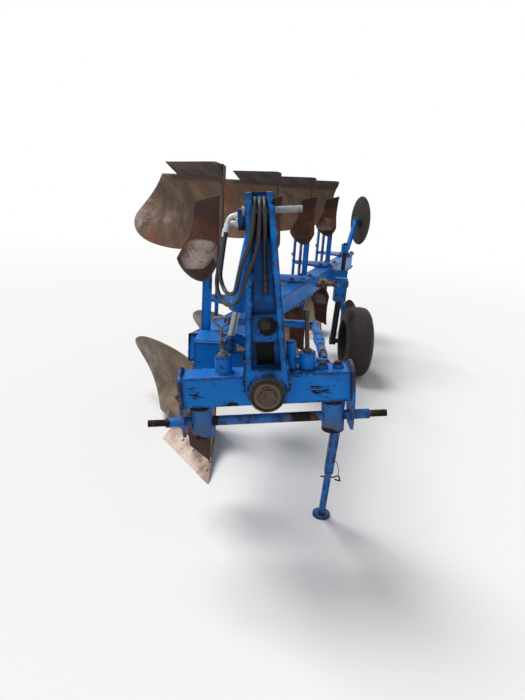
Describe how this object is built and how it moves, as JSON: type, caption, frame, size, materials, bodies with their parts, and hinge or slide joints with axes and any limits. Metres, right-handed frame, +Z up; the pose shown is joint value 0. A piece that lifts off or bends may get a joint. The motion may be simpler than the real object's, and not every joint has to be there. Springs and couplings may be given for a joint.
{
  "type": "mounted reversible mouldboard plough",
  "caption": "Mounted reversible mouldboard plough with mirrored bodies, skimmers, disc coulters, depth wheel and turnover cylinder.",
  "frame": {"origin": "on the ground under the middle of the machine's bounding box", "axes": "+X to the right seen from the tractor end, +Y to the rear, +Z up; the turnover axis runs along Y"},
  "size_m": [2.0546, 4.9167, 1.7],
  "materials": {
    "blue_paint": "worn blue enamel, chipped and rusted at the edges",
    "worn_boards": "rust-brown steel, polished by the soil",
    "worn_shares": "dark rusty steel with a worn pinkish sheen",
    "bare_steel": "dark worn steel with rust",
    "rusty_steel": "rusty bare steel",
    "grey_steel": "grey galvanised steel",
    "chrome_rod": "chromed rod, a little dusty",
    "black_paint": "black paint, dusty and worn",
    "tyre_rubber": "smooth worn dusty tyre",
    "hose_rubber": "black hydraulic hose",
    "galvanised": "galvanised steel pipe"
  },
  "bodies": {
    "headstock": {"cross_tube": "blue_paint", "bearing_housing": "blue_paint", "mast": "blue_paint", "link_bracket_left": "blue_paint", "link_bracket_right": "blue_paint", "lower_link_shaft": "bare_steel", "top_link_pin": "grey_steel", "stop_columns": "blue_paint", "latch_pin": "rusty_steel", "stand_tube": "blue_paint", "hose_inner": "hose_rubber", "hose_outer": "hose_rubber", "hose_spare": "hose_rubber", "hose_couplings": "grey_steel", "steel_pipes": "galvanised"},
    "stand_leg": {"stand_leg": "black_paint"},
    "cylinder_barrel": {"cylinder_barrel": "blue_paint"},
    "cylinder_rod": {"cylinder_rod": "chrome_rod"},
    "wheel_arm": {"wheel_arm": "black_paint"},
    "depth_wheel": {"wheel_rim": "black_paint", "tyre": "tyre_rubber"},
    "disc_lower": {"disc_lower": "worn_boards"},
    "disc_upper": {"disc_upper": "worn_boards"},
    "plough_frame": {"turnover_shaft": "bare_steel", "console": "blue_paint", "main_beam": "blue_paint", "adjusting_spindle": "blue_paint", "leg_1": "blue_paint", "leg_2": "blue_paint", "leg_3": "blue_paint", "leg_4": "blue_paint", "mouldboard_lower_1": "worn_boards", "mouldboard_lower_2": "worn_boards", "mouldboard_lower_3": "worn_boards", "mouldboard_lower_4": "worn_boards", "mouldboard_upper_1": "worn_boards", "mouldboard_upper_2": "worn_boards", "mouldboard_upper_3": "worn_boards", "mouldboard_upper_4": "worn_boards", "shares_lower": "worn_shares", "shares_upper": "worn_shares", "landsides": "worn_shares", "skimmers_lower": "worn_boards", "skimmers_upper": "worn_boards", "skimmer_stems": "blue_paint", "wheel_pivot": "bare_steel", "coulter_stem": "black_paint", "coulter_arms": "blue_paint"}
  },
  "joints": [
    {"name": "turnover", "type": "hinge", "parent": "headstock", "child": "plough_frame", "pos_m": [-0.14596, -2.42398, 0.85], "axis": [0, 1, 0], "range_deg": [0, 180]},
    {"name": "cylinder_swing", "type": "hinge", "parent": "headstock", "child": "cylinder_barrel", "pos_m": [-0.21347, -2.12398, 1.51458], "axis": [0, -1, 0], "range_deg": [0, 25.8]},
    {"name": "rod_slide", "type": "slide", "parent": "cylinder_barrel", "child": "cylinder_rod", "axis": [-0.1596, 0, -0.9872], "range_m": [-0.0942, 0.2174]},
    {"name": "stand_slide", "type": "slide", "parent": "headstock", "child": "stand_leg", "axis": [-0.0228, -0.2968, 0.9547], "range_m": [0, 0.2]},
    {"name": "wheel_arm_swing", "type": "hinge", "parent": "plough_frame", "child": "wheel_arm", "pos_m": [0.57904, 0.17602, 0.85], "axis": [-1, 0, 0], "range_deg": [0, 201.2]},
    {"name": "depth_wheel_spin", "type": "hinge", "parent": "wheel_arm", "child": "depth_wheel", "pos_m": [0.78204, 0.27602, 0.315], "axis": [1, 0, 0], "continuous": true},
    {"name": "disc_lower_spin", "type": "hinge", "parent": "plough_frame", "child": "disc_lower", "pos_m": [0.83204, 0.87602, 0.35], "axis": [0.9781, 0.2079, 0], "continuous": true},
    {"name": "disc_upper_spin", "type": "hinge", "parent": "plough_frame", "child": "disc_upper", "pos_m": [0.83204, 0.87602, 1.35], "axis": [0.9781, 0.2079, 0], "continuous": true}
  ],
  "couplings": [
    {"joint": "cylinder_swing", "follows": "turnover", "ratio": 0.14333}
  ]
}
